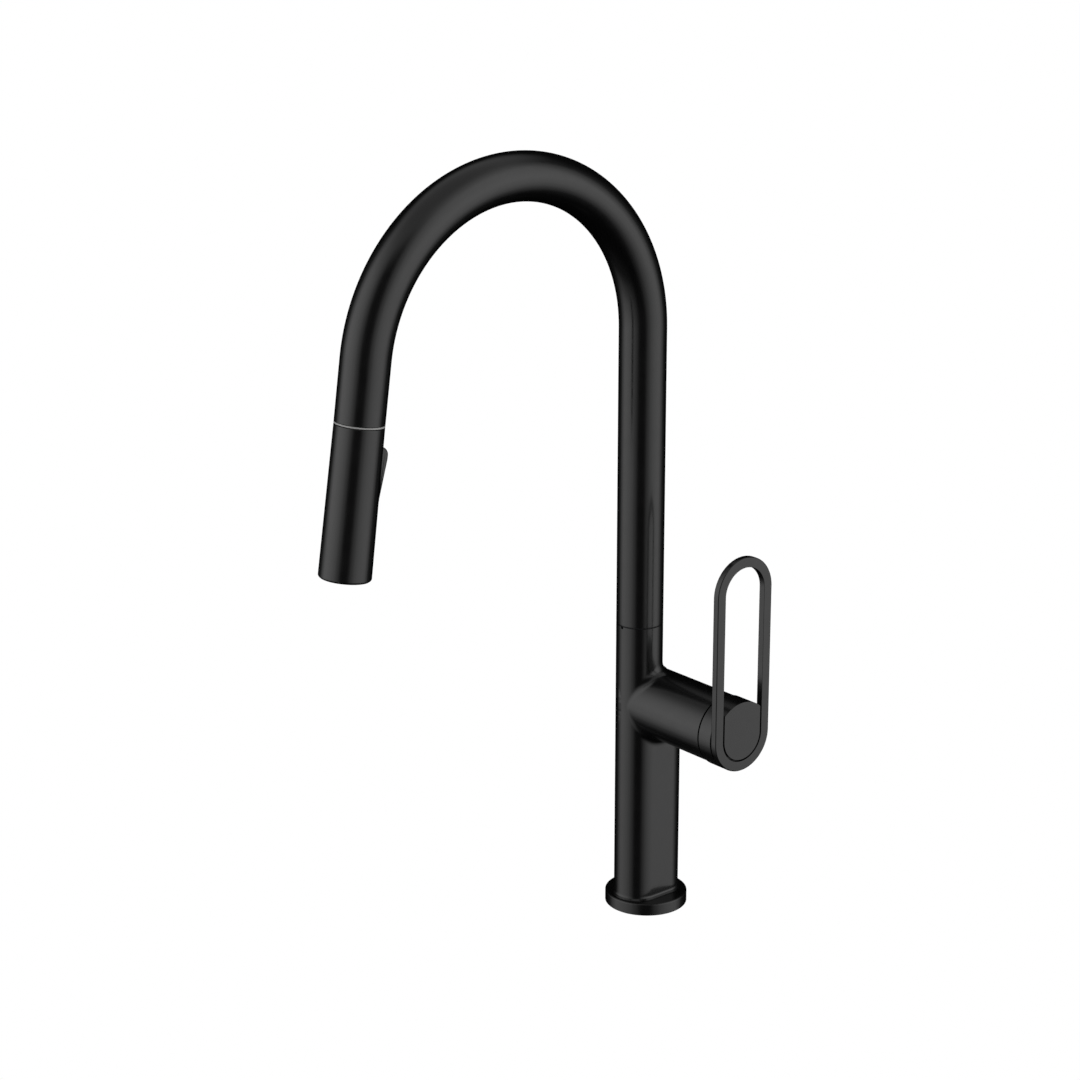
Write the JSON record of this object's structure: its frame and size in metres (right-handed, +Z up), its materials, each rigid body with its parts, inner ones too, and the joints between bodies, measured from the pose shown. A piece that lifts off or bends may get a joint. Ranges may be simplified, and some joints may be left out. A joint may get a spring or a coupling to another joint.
{
  "type": "pull-down kitchen tap",
  "caption": "Pull-down kitchen tap with a high swivelling gooseneck, a side mixing barrel with an open loop handle, and a spray head on a hose that docks in the spout's tip.",
  "frame": {"origin": "centre of the base disc on its underside, on the deck", "axes": "+Z up the column, -Y towards the spout's tip, +X out along the mixing barrel to the handle"},
  "size_m": [0.107, 0.2631, 0.4772],
  "materials": {
    "black_satin": "satin black coating over brass",
    "brass": "machined, uncoated",
    "steel": "plain stainless",
    "rubber": "moulded, matte",
    "grey_nylon": "moulded, satin",
    "dark_plastic": "moulded, satin",
    "white_plastic": "moulded, satin",
    "ceramic": "lapped",
    "magnet": "nickel plated",
    "braid": "braided nylon sleeve"
  },
  "bodies": {
    "column": {"base_flange": "black_satin", "deck_gasket": "rubber", "foot_plate": "brass", "foot_screw_left": "steel", "foot_screw_right": "steel", "foot_screw_rear": "steel", "column_body": "black_satin", "swivel_spigot": "brass", "spigot_o_ring_lower": "rubber", "spigot_o_ring_upper": "rubber", "retaining_clip": "steel", "slip_washer": "dark_plastic", "cartridge_shell": "dark_plastic", "cartridge_base": "white_plastic", "seat_seal_hot": "rubber", "seat_seal_cold": "rubber", "seat_seal_mixed": "rubber", "fixed_disc": "ceramic", "cartridge_nut": "brass", "bonnet_ring": "black_satin", "hose_tail_coupling": "brass"},
    "spout": {"spout_tube": "black_satin", "swivel_bush": "white_plastic", "dock_collar": "grey_nylon", "dock_magnet": "magnet", "pull_out_hose": "braid"},
    "hose_end": {"hose_ferrule": "steel", "swivel_nipple": "brass", "nipple_o_ring": "rubber"},
    "spray": {"spray_shell": "black_satin", "button_pin": "steel", "catch_ring": "steel", "spray_core": "dark_plastic", "core_o_ring": "rubber", "inlet_screen": "steel", "check_valve": "white_plastic", "face_carrier": "dark_plastic", "nozzle_pad": "rubber", "aerator": "dark_plastic"},
    "button": {"rocker_button": "black_satin"},
    "plunger": {"diverter_plunger": "brass"},
    "rotor": {"cartridge_rotor": "white_plastic", "pivot_pin": "steel"},
    "handle": {"cartridge_stem": "brass", "handle_hub": "black_satin", "handle_loop": "black_satin", "hub_grub_screw": "steel", "loop_screw_front": "steel", "loop_screw_rear": "steel"},
    "disc": {"moving_disc": "ceramic", "disc_coupler": "white_plastic"}
  },
  "joints": [
    {"name": "spout_swivel", "type": "hinge", "parent": "column", "child": "spout", "pos_m": [0, -0.0075, 0.183], "axis": [0, 0, 1], "continuous": true},
    {"name": "spray_pull", "type": "slide", "parent": "spout", "child": "hose_end", "axis": [0, -0.1392, -0.9903], "range_m": [0, 0.25]},
    {"name": "spray_turn", "type": "hinge", "parent": "hose_end", "child": "spray", "pos_m": [0, -0.21167, 0.34198], "axis": [0, 0.1392, 0.9903], "continuous": true},
    {"name": "button_rock", "type": "hinge", "parent": "spray", "child": "button", "pos_m": [0, -0.20435, 0.3157], "axis": [1, 0, 0], "range_deg": [0, 6]},
    {"name": "plunger_slide", "type": "slide", "parent": "spray", "child": "plunger", "axis": [0, 0.9903, -0.1392], "range_m": [0, 0.0012]},
    {"name": "handle_temperature", "type": "hinge", "parent": "column", "child": "rotor", "pos_m": [0.052, 0, 0.1323], "axis": [1, 0, 0], "range_deg": [-50, 50]},
    {"name": "handle_flow", "type": "hinge", "parent": "rotor", "child": "handle", "pos_m": [0.052, 0, 0.1323], "axis": [0, 1, 0], "range_deg": [0, 22]},
    {"name": "disc_slide", "type": "slide", "parent": "rotor", "child": "disc", "axis": [0, 0, 1], "range_m": [0, 0.0042]}
  ],
  "couplings": [
    {"joint": "disc_slide", "follows": "handle_flow", "m_per_rad": 0.01047},
    {"joint": "plunger_slide", "follows": "button_rock", "m_per_rad": 0.011}
  ]
}
